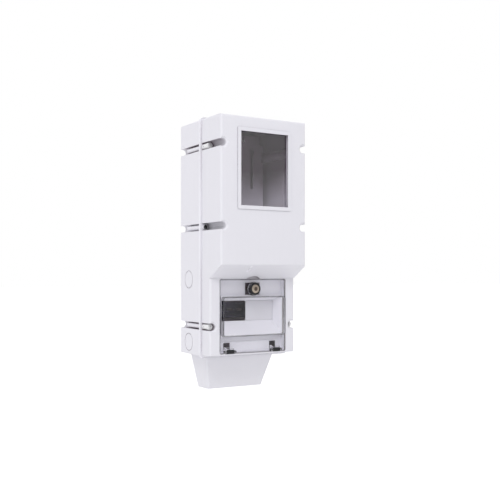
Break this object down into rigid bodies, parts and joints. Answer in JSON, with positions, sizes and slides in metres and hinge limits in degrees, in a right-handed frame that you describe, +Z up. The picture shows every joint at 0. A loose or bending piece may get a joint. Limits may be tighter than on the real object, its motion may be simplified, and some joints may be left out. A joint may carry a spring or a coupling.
{
  "type": "electric meter box",
  "caption": "Tall wall-mounted electric meter box in pale plastic, with a glazed window, a sloping chin, a clear hinged door with a cam lock over the breaker cut-out, and a cable funnel below.",
  "frame": {"origin": "on the wall plane, at the middle of the four wall fixing holes, which is the middle of the housing's back without its funnel", "axes": "+Y points into the wall, so the front faces -Y; +Z is up; +X is to the right for someone who faces the front"},
  "size_m": [0.2268, 0.194, 0.6028],
  "materials": {
    "shell": "fine satin moulded surface",
    "panel_plastic": "satin",
    "white_plastic": "satin",
    "black_plastic": "satin",
    "clear": "clear polycarbonate",
    "smoked_clear": "smoked polycarbonate",
    "rubber": "matt",
    "brass": "turned",
    "screw_steel": "zinc plated",
    "zinc_steel": "zinc plated",
    "nickel": "nickel plated"
  },
  "bodies": {
    "housing": {"base_housing": "shell", "front_cover": "shell", "cover_gasket": "rubber", "thread_inserts": "brass", "seal_screws": "white_plastic", "middle_screws": "screw_steel", "window_pane": "smoked_clear", "window_gasket": "rubber", "window_frame": "panel_plastic", "window_screws": "screw_steel", "breaker_panel": "panel_plastic", "panel_screws": "screw_steel", "blanking_strip": "panel_plastic", "hinge_block_left": "black_plastic", "hinge_block_right": "black_plastic", "hinge_pins": "screw_steel", "din_rail": "zinc_steel", "rail_screws": "screw_steel", "meter_plate": "panel_plastic", "plate_screws": "screw_steel", "cable_funnel": "shell", "funnel_screws": "screw_steel"},
    "door": {"breaker_door": "clear", "lock_ring": "black_plastic", "lock_body": "nickel", "lock_nut": "screw_steel"},
    "lock": {"lock_core": "nickel", "lock_cam": "screw_steel", "cam_screw": "screw_steel"}
  },
  "joints": [
    {"name": "door_hinge", "type": "hinge", "parent": "housing", "child": "door", "pos_m": [0, -0.1445, -0.2491], "axis": [1, 0, 0], "range_deg": [0, 160]},
    {"name": "lock_turn", "type": "hinge", "parent": "door", "child": "lock", "pos_m": [0, -0.155, -0.112], "axis": [0, -1, 0], "range_deg": [0, 90]}
  ]
}
